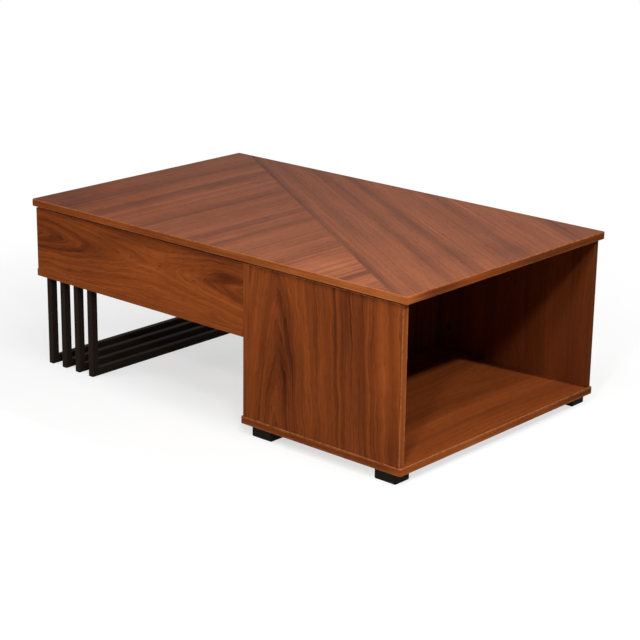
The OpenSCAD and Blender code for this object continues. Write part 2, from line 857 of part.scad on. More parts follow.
top_core();
top_veneer_front();
top_veneer_rear();
top_edge_band();
front_apron();
rear_apron();
end_apron();
storage_floor();
partition();
cabinet_front();
cabinet_back();
cabinet_floor();
front_apron_band();
rear_apron_band();
end_apron_band();
storage_floor_band();
partition_band();
cabinet_front_band();
cabinet_back_band();
cabinet_floor_band();
foot_front_left();
foot_front_right();
foot_rear_left();
foot_rear_right();
foot_screws();
leg_front_posts();
leg_rear_posts();
leg_floor_bars();
leg_front_plate();
leg_rear_plate();
leg_screws();
left_base_bracket();
right_base_bracket();
left_rear_arm();
right_rear_arm();
left_front_arm();
right_front_arm();
left_top_bracket();
right_top_bracket();
left_spring();
right_spring();
left_spring_stud();
right_spring_stud();
spring_anchor_studs();
stop_pins();
base_pivot_rivets();
top_pivot_rivets();
base_washers();
top_washers();
base_bracket_screws();
top_bracket_screws();
carcass_screws();
cam_locks();
cam_bolts();
dowels();
bumpers();
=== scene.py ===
import math

import bpy
import bmesh
from mathutils import Matrix, Vector


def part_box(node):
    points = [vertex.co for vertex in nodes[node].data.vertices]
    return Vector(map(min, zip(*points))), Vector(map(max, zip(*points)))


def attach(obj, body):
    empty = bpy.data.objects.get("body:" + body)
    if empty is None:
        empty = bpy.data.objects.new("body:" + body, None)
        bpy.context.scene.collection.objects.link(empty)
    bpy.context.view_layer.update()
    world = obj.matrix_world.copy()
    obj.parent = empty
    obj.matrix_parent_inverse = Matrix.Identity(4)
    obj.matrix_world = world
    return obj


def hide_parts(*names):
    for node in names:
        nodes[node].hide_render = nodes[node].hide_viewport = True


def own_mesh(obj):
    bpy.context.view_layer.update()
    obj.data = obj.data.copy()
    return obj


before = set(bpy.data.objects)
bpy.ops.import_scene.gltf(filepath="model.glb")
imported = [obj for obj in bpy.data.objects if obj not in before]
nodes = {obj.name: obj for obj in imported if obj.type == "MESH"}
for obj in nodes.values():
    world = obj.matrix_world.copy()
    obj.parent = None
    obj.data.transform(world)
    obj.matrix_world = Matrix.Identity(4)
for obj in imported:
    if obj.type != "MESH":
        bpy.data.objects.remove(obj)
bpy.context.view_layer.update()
print("stage: frame loaded,", len(nodes), "nodes")


# Camera, floor and lamps

cameraView = {
    "place": (2.908, -3.261, 1.559),
    "azimuth": 41.4,      # of the line from the table to the camera, from -Y towards +X
    "elevation": 17.7,
    "roll": 0.825,
    "lens": 104.7,
    "sensor": 36,
    "farthest": 60,
}


def makeCamera(view):
    azimuth, elevation, roll = (math.radians(view[k]) for k in ("azimuth", "elevation", "roll"))
    back = Vector((math.sin(azimuth) * math.cos(elevation),
                   -math.cos(azimuth) * math.cos(elevation), math.sin(elevation)))
    right = (-back).cross(Vector((0, 0, 1))).normalized()
    up = right.cross(-back)
    side = right * math.cos(roll) + up * math.sin(roll)
    top = -right * math.sin(roll) + up * math.cos(roll)
    data = bpy.data.cameras.new("tableCamera")
    data.lens, data.sensor_width, data.clip_end = view["lens"], view["sensor"], view["farthest"]
    camera = bpy.data.objects.new("tableCamera", data)
    turn = Matrix((side, top, back)).transposed().to_4x4()
    camera.matrix_world = Matrix.Translation(view["place"]) @ turn
    bpy.context.scene.collection.objects.link(camera)
    bpy.context.scene.camera = camera


softboxes = {                  # place, side, watts
    "highSoftbox": ((0.5, -0.6, 2.0), 0.6, 9),
    "highLeftSoftbox": ((-1.0, -1.2, 1.8), 0.8, 8),
    "rightSoftbox": ((1.2, -0.33, 1.9), 0.25, 6),
    "frontSoftbox": ((1.0, -1.0, 1.3), 0.2, 5.5),
    "frontRightSoftbox": ((1.25, -1.6, 1.25), 0.12, 11.5),
    "leftSoftbox": ((-1.4, -2.0, 0.7), 1.0, 15),
    "backRightSoftbox": ((1.9, 0.5, 1.75), 0.08, 27),
    "lowBackSoftbox": ((0.3, 2.4, 0.3), 0.6, 24),      # under the height of the top
}
lampTarget = Vector((0.1, 0, 0.25))


def makeSoftbox(name, place, side, watts):
    data = bpy.data.lights.new(name, "AREA")
    data.shape, data.size, data.energy = "SQUARE", side, watts
    lamp = bpy.data.objects.new(name, data)
    lamp.visible_camera = False
    turn = (Vector(place) - lampTarget).to_track_quat("Z", "Y").to_matrix().to_4x4()
    lamp.matrix_world = Matrix.Translation(place) @ turn
    bpy.context.scene.collection.objects.link(lamp)


# Shader maths

class Wire:
    # One socket of a node tree. Arithmetic on it adds Math nodes.
    def __init__(self, tree, socket=None):
        self.tree, self.socket = tree, socket

    def node(self, kind, settings, inputs, out=0):
        made = self.tree.nodes.new(kind)
        for key, value in settings.items():
            if key == "stops":
                ramp = made.color_ramp.elements
                while len(ramp) < len(value):
                    ramp.new(0.5)
                for stop, (place, colour) in zip(ramp, value):
                    stop.position = place
                    stop.color = (*colour, 1)
            else:
                setattr(made, key, value)
        for key, value in inputs.items():
            if isinstance(value, Wire):
                self.tree.links.new(value.socket, made.inputs[key])
            else:
                made.inputs[key].default_value = value
        return Wire(self.tree, made.outputs[out]) if out is not None else made

    def math(self, operation, *values, clamp=False):
        return self.node("ShaderNodeMath", {"operation": operation, "use_clamp": clamp},
                         dict(enumerate(values)))

    def __add__(self, other):
        return self.math("ADD", self, other)

    def __radd__(self, other):
        return self.math("ADD", other, self)

    def __sub__(self, other):
        return self.math("SUBTRACT", self, other)

    def __rsub__(self, other):
        return self.math("SUBTRACT", other, self)

    def __mul__(self, other):
        return self.math("MULTIPLY", self, other)

    def __truediv__(self, other):
        return self.math("DIVIDE", self, other)

    def __pow__(self, other):
        return self.math("POWER", self, other)

    def __gt__(self, other):
        return self.math("GREATER_THAN", self, other)

    def __lt__(self, other):
        return self.math("LESS_THAN", self, other)

    def __abs__(self):
        return self.math("ABSOLUTE", self)

    def atLeast(self, low):
        return self.math("MAXIMUM", self, low)

    def fraction(self):
        return self.math("FRACT", self)

    def bell(self):
        # 1 at nothing, falling to 0
        return self.math("EXPONENT", self * -1.0)

    def clamped(self):
        return self.math("ADD", self, 0, clamp=True)

    def span(self, low, high):
        # 0 below low, 1 above high, straight between
        return self.node("ShaderNodeMapRange", {"clamp": True},
                         {"Value": self, "From Min": low, "From Max": high})

    def blend(self, first, second):
        # a colour between two colours
        return self.node("ShaderNodeMix", {"data_type": "RGBA"},
                         {0: self, 6: first, 7: second}, 2)

    def ramp(self, stops):
        # the colour that the stops give at this value
        return self.node("ShaderNodeValToRGB", {"stops": stops}, {"Fac": self})

    def along(self, direction):
        # length of a place measured along a direction
        return self.node("ShaderNodeVectorMath", {"operation": "DOT_PRODUCT"},
                         {0: self, 1: direction}, "Value")

    def noise(self, u, v, detail=2.0, roughness=0.5, w=0.0):
        place = self.node("ShaderNodeCombineXYZ", {}, {0: u, 1: v, 2: w})
        return self.node("ShaderNodeTexNoise", {"noise_dimensions": "3D"},
                         {"Vector": place, "Scale": 1.0, "Detail": detail, "Roughness": roughness})


def newMaterial(name):
    material = bpy.data.materials.new(name)
    material.use_nodes = True
    tree = material.node_tree
    tree.nodes.clear()
    sheet = Wire(tree)
    place = sheet.node("ShaderNodeTexCoord", {}, {}, "Object")
    return material, sheet, place


def finishMaterial(material, sheet, inputs, height=None, relief=0.0):
    # relief is the depth in metres that a height of 1 stands for
    inputs = dict(inputs)
    if height is not None:
        inputs["Normal"] = sheet.node("ShaderNodeBump", {}, {
            "Height": height, "Strength": 1.0, "Distance": relief})
    shader = sheet.node("ShaderNodeBsdfPrincipled", {}, inputs)
    sheet.node("ShaderNodeOutputMaterial", {}, {"Surface": shader}, None)
    return material


def greys(stops):
    return [(place, (tone, tone, tone)) for place, tone in stops]


# Walnut laminate. The growth rings are cones round a pith line under the face, so flat
# sawn panels get cathedral arches and the others straight bands. A tone of 1 is the
# ordinary colour of the wood.

toneRange = 2.0      # a ramp holds 0 to 1, so it gets tones as shares of this

walnut = {
    "stops": {0.3: (0.052, 0.0118, 0.0040), 0.6: (0.116, 0.0258, 0.0072),
              1.0: (0.200, 0.0460, 0.0110), 1.4: (0.288, 0.0670, 0.0145),
              2.0: (0.425, 0.1120, 0.0260)},
    "paleStops": {0.3: (0.056, 0.0175, 0.0085), 0.6: (0.120, 0.0355, 0.0155),
                  1.0: (0.202, 0.0590, 0.0240), 1.4: (0.285, 0.0860, 0.0350),
                  2.0: (0.420, 0.1380, 0.0600)},      # painted sheen on the top: paler colours that stand in for part of its reflection
    "pore": (0.045, 0.0110, 0.0040),
    "poreShare": 0.55,
    "gloss": 0.45,            # roughness: the lower, the glossier
    "unevenGloss": 0.12,
    "shine": 0.02,
    "relief": 0.00004,
    "laminate": 0.0007,       # thickness of the sheet on each face
    "year": 0.0085,           # width of a growth ring
    "yearSway": 0.022,
    "pithDepth": 0.004,       # the least distance of the pith from the face
    "seedSpread": 25.0,
    "lineSharpness": 14.0,
    # noise on the face: scale over the rings, scale along the grain, detail, roughness,
    # offset, and for some the span that is stretched to 0 to 1
    "layers": {
        "broad": (75.0, 0.9, 2.0, 0.55, 3.1),
        "narrow": (240.0, 1.5, 2.0, 0.6, 5.7),
        "fibre": (800.0, 8.0, 2.0, 0.6, 9.2),
        "pores": (1500.0, 34.0, 1.0, 0.5, 12.4, 0.61, 0.70),
        "line": (62.0, 0.6, 0.0, 0.5, 20.3),
        "lineGaps": (30.0, 5.0, 1.0, 0.5, 22.8, 0.42, 0.60),
        "lateGaps": (22.0, 2.6, 1.0, 0.5, 25.6, 0.40, 0.62),
    },
    "cloud": (3.2, 6.0, 1.0, 0.5, 15.8),      # the same, but along the grain comes first
    # noise that bends the rings: scale along the grain, scale across it, detail, roughness,
    # offset, amount
    "bends": {
        "sway": (2.2, 5.0, 2.0, 0.5, 0.0, 0.02),
        "wave": (9.0, 16.0, 1.0, 0.5, 1.0, 0.006),
        "ripple": (30.0, 45.0, 2.0, 0.6, 2.0, 0.005),
    },
    # how much each adds to the tone
    "amounts": {"broad": 0.7, "narrow": 0.9, "fibre": 0.55, "cloud": 0.4, "line": 0.16,
                "late": 0.32, "all": 0.03},
}

spotEdge = {"scale": (9.0, 16.0), "detail": 2.0, "roughness": 0.55, "offset": 30.0,
            "tone": 0.12, "stray": 0.7}

chipboard = {
    "stops": [(0.0, (0.20, 0.115, 0.055)), (0.5, (0.36, 0.235, 0.125)), (1.0, (0.52, 0.38, 0.23))],
    "chip": 420.0,
    "mix": (0.5, 0.3, 0.2),
    "rough": 0.35,            # how much rougher it is than the laminate
}


def growthRings(sheet, place, panel):
    # length along the grain, distance from the pith, and a seed that differs from side to side
    along, across = Vector(panel["along"]), Vector(panel["across"])
    centre = Vector(panel.get("centre", (0, 0, 0)))
    u = place.along(along) - centre.dot(along)
    v = place.along(across) - centre.dot(across) - u * panel.get("lean", 0.0)
    side = v
    for bend, (alongGrain, acrossGrain, detail, roughness, offset, amount) in walnut["bends"].items():
        stray = sheet.noise(u * panel.get(bend + "Along", alongGrain), v * acrossGrain,
                            detail, roughness, panel["seed"] + offset)
        side = side + (stray - 0.5) * panel.get(bend, amount)
    if "fan" in panel:
        side = side / (1.0 + u * panel["fan"])
    ring = side
    if "pith" in panel:
        # the pith is deepest at u = 0 and rises to both sides
        sharp, deep, slope, soft = panel["pith"]
        pith = (deep - (u * u + soft * soft) ** 0.5 * slope).atLeast(walnut["pithDepth"])
        ring = (abs(side) ** sharp + pith ** sharp) ** (1 / sharp)
    return u, ring, side * walnut["seedSpread"] + panel["seed"]


def shadeSpots(sheet, place, panel, spots):
    # soft lighter and darker areas, both in the wood's tone and as painted shade and light: where,
    # how wide, how much
    x, y = (place.along(axis) for axis in panel["plane"])
    scaleX, scaleY = spotEdge["scale"]
    stray = sheet.noise(x * scaleX, y * scaleY, spotEdge["detail"], spotEdge["roughness"],
                        panel["seed"] + spotEdge["offset"]) - 0.5
    total = stray * spotEdge["tone"]
    for middleX, middleY, wide, high, amount in spots:
        acrossX = (x - middleX + stray * wide * spotEdge["stray"]) / wide
        acrossY = (y - middleY + stray * high * spotEdge["stray"]) / high
        total = total + (acrossX * acrossX + acrossY * acrossY).bell() * amount
    return total


def toneStops(colours):
    return [(tone / toneRange, colour) for tone, colour in colours.items()]


def walnutFace(sheet, place, panel):
    u, ring, seed = growthRings(sheet, place, panel)
    amounts = {name: panel.get(name, amount) for name, amount in walnut["amounts"].items()}

    def layer(name):
        overRings, alongGrain, detail, roughness, offset, *span = walnut["layers"][name]
        noise = sheet.noise(ring * overRings, u * alongGrain, detail, roughness, seed + offset)
        return noise.span(*span) if span else noise

    low, high = min(panel["figure"]), max(panel["figure"])
    figure = ring.span(low, high).ramp(greys([
        ((distance - low) / (high - low), tone / toneRange)
        for distance, tone in panel["figure"].items()]))
    broad, narrow, fibre, pores = (layer(name) for name in ("broad", "narrow", "fibre", "pores"))
    alongGrain, overRings, detail, roughness, offset = walnut["cloud"]
    cloud = sheet.noise(u * alongGrain, ring * overRings, detail, roughness, seed + offset)
    line = (abs(layer("line") - 0.5) * -walnut["lineSharpness"] + 1.0).clamped() * layer("lineGaps")
    # late wood: each ring darkens slowly and ends sharply
    swayed = ring + (broad - 0.5) * walnut["yearSway"]
    year = (swayed / panel.get("year", walnut["year"])).fraction()
    late = (year * year) * (year * year) * layer("lateGaps")
    streaks = amounts["broad"]
    if "lively" in panel:
        streaks = shadeSpots(sheet, place, panel, panel["lively"]) + streaks
    tone = (figure * toneRange + (broad - 0.5) * streaks + (narrow - 0.5) * amounts["narrow"]
            + (fibre - 0.5) * amounts["fibre"] + (cloud - 0.5) * amounts["cloud"]
            + line * amounts["line"] - late * amounts["late"] + amounts["all"])
    if "spots" in panel:
        tone = tone + shadeSpots(sheet, place, panel, panel["spots"])
    tone = ((tone - 1.0) * panel.get("contrast", 1.0) + 1.0) * panel.get("tone", 1.0)
    share = tone * (1 / toneRange)
    colour = share.ramp(toneStops(walnut[panel.get("stops", "stops")]))
    if "lessPaintedSheen" in panel:
        # areas with less painted sheen, where the deeper colours of the plain stops show
        deeper = share.ramp(toneStops(walnut["stops"]))
        colour = shadeSpots(sheet, place, panel, panel["lessPaintedSheen"]).clamped().blend(colour, deeper)
    colour = (pores * walnut["poreShare"]).blend(colour, (*walnut["pore"], 1))
    rough = walnut["gloss"] + (narrow - 0.5) * walnut["unevenGloss"] + pores * walnut["unevenGloss"]
    height = 0.5 + (fibre - 0.5) * 0.5 - pores * 0.5
    return colour, rough, height


def chipboardFace(sheet, place):
    chips = sheet.node("ShaderNodeTexVoronoi", {},
                       {"Vector": place, "Scale": chipboard["chip"]}, "Color")
    return chips.along(chipboard["mix"]).ramp(chipboard["stops"])


def boardMaterial(name, panel):
    # laminate on the two faces, chipboard between them
    material, sheet, place = newMaterial(name)
    colour, rough, height = walnutFace(sheet, place, panel)
    if "thickness" in panel:
        axis, low, high = panel["thickness"]
        depth = place.along(axis)
        core = (depth > low + walnut["laminate"]) * (depth < high - walnut["laminate"])
        colour = core.blend(colour, chipboardFace(sheet, place))
        rough = rough + core * chipboard["rough"]
    return finishMaterial(material, sheet, {
        "Base Color": colour, "Roughness": rough,
        "Specular IOR Level": panel.get("shine", walnut["shine"])}, height, walnut["relief"])


edging = {
    "stops": [(0.0, (0.105, 0.0245, 0.0065)), (0.25, (0.170, 0.0410, 0.0105)),
              (0.5, (0.235, 0.0570, 0.0135)), (0.75, (0.310, 0.0810, 0.0190)),
              (1.0, (0.400, 0.1180, 0.0310))],
    "arris": (0.420, 0.1500, 0.0520),      # paler on the rounded corners: wear and painted highlight
    "arrisEnd": 0.0004,                    # full wear and painted highlight this far from the corner
    "gloss": 0.42,
    "unevenGloss": 0.1,
    "shine": 0.006,
    "relief": 0.00003,
    "detail": 2.0,
    "roughness": 0.6,
    # noise: scale across the run, scale along it, offset, amount in the tone
    "layers": {
        "streak": (300.0, 5.0, 0.0, 1.0),
        "fleck": (900.0, 60.0, 4.0, 0.5),
        "cloud": (12.0, 7.0, 8.0, 0.6),
    },
    "wearAndHighlightNoise": (90.0, 3.0, 0.6, 12.0, 0.30, 0.62),      # scale, detail, roughness, offset, span
    "seed": 50.0,             # of the first band
    "seedStep": 3,            # from one band to the next
}


def edgingMaterial(name, band):
    # plain band with faint streaks that run along the edge
    material, sheet, place = newMaterial(name)
    run, seed = band["run"], band["seed"]
    u = place.along(run)
    v = place.along([1 - part for part in run])
    tone, layers = band["tone"], {}
    for layer, (acrossRun, alongRun, offset, amount) in edging["layers"].items():
        layers[layer] = sheet.noise(v * acrossRun, u * alongRun, edging["detail"],
                                    edging["roughness"], seed + offset)
        tone = tone + (layers[layer] - 0.5) * amount
    if "spots" in band:
        tone = tone + shadeSpots(sheet, place, band, band["spots"])
    colour = tone.ramp(edging["stops"])
    # wear and painted highlight: paler along the rounded corners, broken up by noise
    if "wearAndHighlight" in band:
        low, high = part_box(name)
        axis = Vector(band.get("wearAndHighlightEdge", (0, 0, 1)))
        middle, half = axis.dot(low + high) / 2, axis.dot(high - low) / 2
        wearAndHighlightEdge = abs(place.along(axis) - middle).span(half - band["wearAndHighlightWidth"], half - edging["arrisEnd"])
        scale, detail, roughness, offset, *span = edging["wearAndHighlightNoise"]
        wearAndHighlightNoise = sheet.noise(u * scale, v * scale, detail, roughness, seed + offset).span(*span)
        colour = (wearAndHighlightEdge * wearAndHighlightNoise * band["wearAndHighlight"]).blend(colour, (*edging["arris"], 1))
    streak, fleck = layers["streak"], layers["fleck"]
    return finishMaterial(material, sheet, {
        "Base Color": colour, "Roughness": edging["gloss"] + (fleck - 0.5) * edging["unevenGloss"],
        "Specular IOR Level": edging["shine"]}, streak * 0.5 + fleck * 0.5, edging["relief"])


# Metals and plastics

finishes = {
    "legPaint": {"dark": (0.0170, 0.0115, 0.0085), "light": (0.0290, 0.0200, 0.0150),
                 "grain": 900.0, "gloss": 0.5, "relief": 0.00005, "shine": 0.010},
    "liftPaint": {"dark": (0.012, 0.012, 0.013), "light": (0.022, 0.022, 0.024),
                  "grain": 1100.0, "gloss": 0.40, "relief": 0.00004, "shine": 0.3},
    "armPaint": {"dark": (0.020, 0.020, 0.022), "light": (0.034, 0.034, 0.037),
                 "grain": 1100.0, "gloss": 0.36, "relief": 0.00004, "shine": 0.3},
    "footPlastic": {"dark": (0.0080, 0.0062, 0.0052), "light": (0.0150, 0.0120, 0.0100),
                    "grain": 1600.0, "gloss": 0.55, "relief": 0.00006, "shine": 0.04},
    "washerNylon": {"dark": (0.62, 0.60, 0.55), "light": (0.74, 0.72, 0.67),
                    "grain": 500.0, "gloss": 0.45, "relief": 0.00002, "shine": 0.5},
    "bumperRubber": {"dark": (0.012, 0.010, 0.009), "light": (0.022, 0.019, 0.017),
                     "grain": 900.0, "gloss": 0.6, "relief": 0.00003, "shine": 0.1},
    "dowelBeech": {"dark": (0.42, 0.27, 0.15), "light": (0.58, 0.42, 0.26),
                   "grain": 700.0, "gloss": 0.65, "relief": 0.00005, "shine": 0.3},
    "camZinc": {"dark": (0.030, 0.027, 0.024), "light": (0.060, 0.055, 0.050),
                "grain": 900.0, "gloss": 0.6, "relief": 0.00003, "metal": 1.0},
    "zincPlate": {"dark": (0.50, 0.50, 0.49), "light": (0.70, 0.70, 0.70),
                  "grain": 600.0, "gloss": 0.32, "relief": 0.00002, "metal": 1.0},
    "springSteel": {"dark": (0.40, 0.40, 0.41), "light": (0.62, 0.62, 0.63),
                    "grain": 800.0, "gloss": 0.28, "relief": 0.00001, "metal": 1.0},
}
finishNoise = {      # detail, roughness, share in the tone, amount in the gloss
    "grain": (2.0, 0.6, 0.55, 0.08),
    "cloud": (3.0, 0.55, 0.45, 0.16),
}
cloudScale = 14.0
finishSpan = 0.3, 0.7


def finishOf(name):
    sizes = finishes[name]
    material, sheet, place = newMaterial(name)

    def noise(kind, scale):
        detail, roughness, share, amount = finishNoise[kind]
        made = sheet.node("ShaderNodeTexNoise", {}, {
            "Vector": place, "Scale": scale, "Detail": detail, "Roughness": roughness})
        return made, made * share, (made - 0.5) * amount

    grain, grainTone, grainGloss = noise("grain", sizes["grain"])
    cloud, cloudTone, cloudGloss = noise("cloud", cloudScale)
    colour = (grainTone + cloudTone).span(*finishSpan).ramp([
        (0.0, sizes["dark"]), (1.0, sizes["light"])])
    inputs = {"Base Color": colour, "Roughness": sizes["gloss"] + cloudGloss + grainGloss}
    for key, socket in (("metal", "Metallic"), ("shine", "Specular IOR Level")):
        if key in sizes:
            inputs[socket] = sizes[key]
    return finishMaterial(material, sheet, inputs, grain, sizes["relief"])


# Floor and world

studioFloor = {
    "size": 14.0,
    "paper": (0.44, 0.44, 0.44, 1),
    "bounce": (0.42, 0.40, 0.38, 1),      # its colour for light that is thrown back on the table
    "glow": 0.60,
    "white": (0.3, 1.6),                  # from paper to pure white, in metres from the middle
}
worldLight = 0.045


def backgroundRays(sheet):
    # 1 for a ray that shows the background straight, in a mirror or through glass
    ray = sheet.node("ShaderNodeLightPath", {}, {}, None)
    seen, mirrored, passed = (Wire(sheet.tree, ray.outputs[kind]) for kind in
                              ("Is Camera Ray", "Is Glossy Ray", "Is Transmission Ray"))
    return (seen + mirrored + passed).clamped()


def makeFloor():
    mesh = bpy.data.meshes.new("studioFloor")
    maker = bmesh.new()
    bmesh.ops.create_grid(maker, x_segments=1, y_segments=1, size=studioFloor["size"])
    maker.to_mesh(mesh)
    maker.free()
    floor = bpy.data.objects.new("studioFloor", mesh)
    bpy.context.scene.collection.objects.link(floor)
    material, sheet, place = newMaterial("studioFloor")
    background = backgroundRays(sheet)
    away = sheet.node("ShaderNodeVectorMath", {"operation": "LENGTH"}, {0: place}, "Value")
    fade = away.span(*studioFloor["white"])
    paper = sheet.node("ShaderNodeBsdfDiffuse", {}, {
        "Color": background.blend(studioFloor["bounce"], studioFloor["paper"])})
    lift = sheet.node("ShaderNodeEmission", {}, {
        "Color": (1, 1, 1, 1), "Strength": background * studioFloor["glow"]})
    near = sheet.node("ShaderNodeAddShader", {}, {0: paper, 1: lift})
    white = sheet.node("ShaderNodeEmission", {}, {"Color": (1, 1, 1, 1), "Strength": 1.0})
    both = sheet.node("ShaderNodeMixShader", {}, {0: fade * background, 1: near, 2: white})
    sheet.node("ShaderNodeOutputMaterial", {}, {"Surface": both}, None)
    mesh.materials.append(material)


def makeWorld(level):
    world = bpy.data.worlds.new("studio")
    bpy.context.scene.world = world
    world.use_nodes = True
    world.node_tree.nodes.clear()
    sheet = Wire(world.node_tree)
    light = sheet.node("ShaderNodeBackground", {}, {
        "Color": (1, 1, 1, 1), "Strength": backgroundRays(sheet) * (1 - level) + level})
    sheet.node("ShaderNodeOutputWorld", {}, {"Surface": light}, None)


makeCamera(cameraView)
for name, sizes in softboxes.items():
    makeSoftbox(name, *sizes)
makeFloor()
makeWorld(worldLight)
bpy.context.scene.view_settings.view_transform = "Standard"
print("stage: camera, lamps and floor")


# Boards

topLow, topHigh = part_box("top_core")
apronLow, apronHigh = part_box("front_apron")
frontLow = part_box("cabinet_front")[0]
# the line between the two veneers, from its front end to its back end
jointFront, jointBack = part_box("top_veneer_front")[1].x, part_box("top_veneer_rear")[0].x
joint = Vector((jointBack - jointFront, topHigh.y - topLow.y, 0)).normalized()

alongX, alongY, alongZ = axes = (1, 0, 0), (0, 1, 0), (0, 0, 1)
floorPlan, frontPlan = (alongX, alongY), (alongX, alongZ)

# A spot has its middle on the plane, how far it spreads both ways, and its tone. The widest
# ones are the shade just under the top.
panels = {
    "top_veneer_front": {              # figure: distance from the left end, tone
        "along": alongY, "across": alongX, "centre": (topLow.x, 0, 0), "seed": 1.0,
        # its paler stops are a painted sheen
        "sway": 0.006, "broad": 0.3, "late": 0.2, "stops": "paleStops", "shine": 0.020,
        "plane": floorPlan,
        "spots": [(-0.56, -0.32, 0.17, 0.16, -0.34), (-0.56, 0.33, 0.30, 0.10, 0.14),
                  (0.32, -0.31, 0.10, 0.06, 0.22)],
        # less painted sheen at the front left corner
        "lessPaintedSheen": [(-0.60, -0.37, 0.36, 0.32, 1.3)],
        "lively": [(0.32, -0.30, 0.22, 0.13, 1.3), (-0.25, -0.05, 0.35, 0.25, 0.5)],
        "contrast": 1.12,
        "figure": {
            0.00: 1.00, 0.05: 1.05, 0.085: 0.95, 0.108: 0.78, 0.135: 0.88, 0.158: 1.05,
            0.18: 1.24, 0.192: 1.05, 0.216: 0.82, 0.245: 1.00, 0.266: 1.25, 0.28: 0.98,
            0.296: 1.32, 0.312: 1.00, 0.328: 1.22, 0.35: 0.98, 0.388: 0.74, 0.405: 1.00,
            0.415: 1.18, 0.43: 1.00, 0.524: 1.12, 0.555: 0.80, 0.596: 1.12, 0.625: 0.80,
            0.656: 1.18, 0.74: 0.92, 0.788: 1.22, 0.812: 0.85, 0.92: 1.30, 1.02: 0.82,
            1.05: 1.20, 1.12: 1.00},
    },
    "top_veneer_rear": {               # figure: distance from the joint, tone
        "along": tuple(joint), "across": (joint.y, -joint.x, 0),
        "centre": ((jointFront + jointBack) / 2, 0, 0), "seed": 7.0,
        "sway": 0.012, "swayAlong": 1.6, "fan": -0.15, "broad": 0.3, "late": 0.2,
        # its paler stops are a painted sheen
        "stops": "paleStops", "contrast": 1.1, "shine": 0.022, "tone": 0.97,
        "plane": floorPlan,
        "spots": [(0.54, 0.09, 0.07, 0.09, -0.20), (0.46, -0.05, 0.06, 0.08, -0.18),
                  (0.20, 0.34, 0.45, 0.07, 0.12), (0.52, 0.34, 0.14, 0.06, -0.16)],
        "figure": {
            0.00: 0.60, 0.006: 0.68, 0.014: 0.93, 0.035: 1.08, 0.068: 0.96, 0.092: 1.12,
            0.112: 1.02, 0.118: 1.16, 0.128: 0.90, 0.142: 0.76, 0.158: 0.96, 0.168: 1.16,
            0.19: 1.00, 0.216: 0.74, 0.23: 0.92, 0.238: 1.12, 0.26: 1.14, 0.30: 1.02,
            0.335: 1.00, 0.352: 0.74, 0.372: 0.92, 0.388: 1.18, 0.398: 1.04, 0.412: 1.16,
            0.45: 0.90, 0.488: 1.16, 0.53: 0.78, 0.575: 1.06, 0.62: 0.94},
    },
    "front_apron": {                   # figure: distance from the pith, tone
        "along": alongX, "across": alongZ, "seed": 12.0,
        "centre": (apronLow.x + 0.420, 0, apronHigh.z - 0.063), "lean": -0.01,
        "pith": (1.6, 0.070, 0.115, 0.03), "sway": 0.022, "swayAlong": 5.0, "wave": 0.012,
        "ripple": 0.008, "broad": 0.6, "year": 0.0075, "late": 0.20, "shine": 0.008,
        "contrast": 1.12, "plane": frontPlan,
        "spots": [(-0.08, 0.30, 0.42, 0.10, 0.30), (-0.46, 0.372, 0.19, 0.045, -0.10),
                  (-0.37, 0.342, 0.05, 0.014, -0.20), (0.075, 0.362, 0.06, 0.035, -0.38),
                  (-0.15, 0.36, 0.12, 0.03, 0.18), (-0.27, 0.388, 0.10, 0.014, -0.30),
                  (-0.23, 0.412, 9.0, 0.009, -0.46)],
        "figure": {
            0.000: 0.84, 0.010: 0.98, 0.018: 0.80, 0.026: 1.02, 0.034: 0.80, 0.040: 0.96,
            0.046: 0.72, 0.052: 0.92, 0.060: 1.04, 0.072: 1.00, 0.080: 1.10, 0.088: 0.92,
            0.096: 1.08, 0.108: 0.98, 0.118: 1.12, 0.130: 0.96, 0.145: 1.10},
    },
    "cabinet_front": {
        "along": alongZ, "across": alongX, "seed": 21.0,
        "centre": (frontLow.x + 0.085, 0, 0.60),
        "pith": (1.6, 0.095, 0.115, 0.05), "sway": 0.018, "wave": 0.022, "ripple": 0.008,
        "broad": 0.85, "shine": 0.014, "contrast": 0.94, "plane": frontPlan,
        "spots": [(0.555, 0.29, 0.045, 0.15, 0.26), (0.34, 0.15, 0.05, 0.14, 0.15),
                  (0.42, 0.34, 0.05, 0.10, -0.18), (0.225, 0.17, 0.035, 0.12, -0.18),
                  (0.27, 0.37, 0.035, 0.05, 0.15), (0.53, 0.23, 0.03, 0.05, 0.16),
                  (0.57, 0.08, 0.02, 0.06, -0.22), (0.36, 0.412, 9.0, 0.009, -0.46)],
        "figure": {
            0.000: 0.82, 0.030: 0.95, 0.042: 0.92, 0.050: 0.76, 0.056: 0.95, 0.062: 1.04,
            0.068: 0.76, 0.075: 0.88, 0.085: 1.08, 0.110: 1.14, 0.130: 0.80, 0.145: 0.86,
            0.160: 1.10, 0.183: 0.98, 0.190: 0.70, 0.198: 1.16, 0.206: 0.76, 0.220: 1.04,
            0.240: 0.84, 0.250: 1.10, 0.263: 0.82, 0.280: 1.10, 0.295: 0.80, 0.320: 1.14,
            0.345: 0.84, 0.370: 1.12, 0.400: 1.00},
    },
}

for name in ("front_apron", "cabinet_front"):
    low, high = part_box(name)
    panels[name]["thickness"] = (alongY, low.y, high.y)


def dress(name, material):
    piece = nodes[name]
    piece.data.materials.clear()
    piece.data.materials.append(material)


for name, panel in panels.items():
    dress(name, boardMaterial(name + "Walnut", panel))

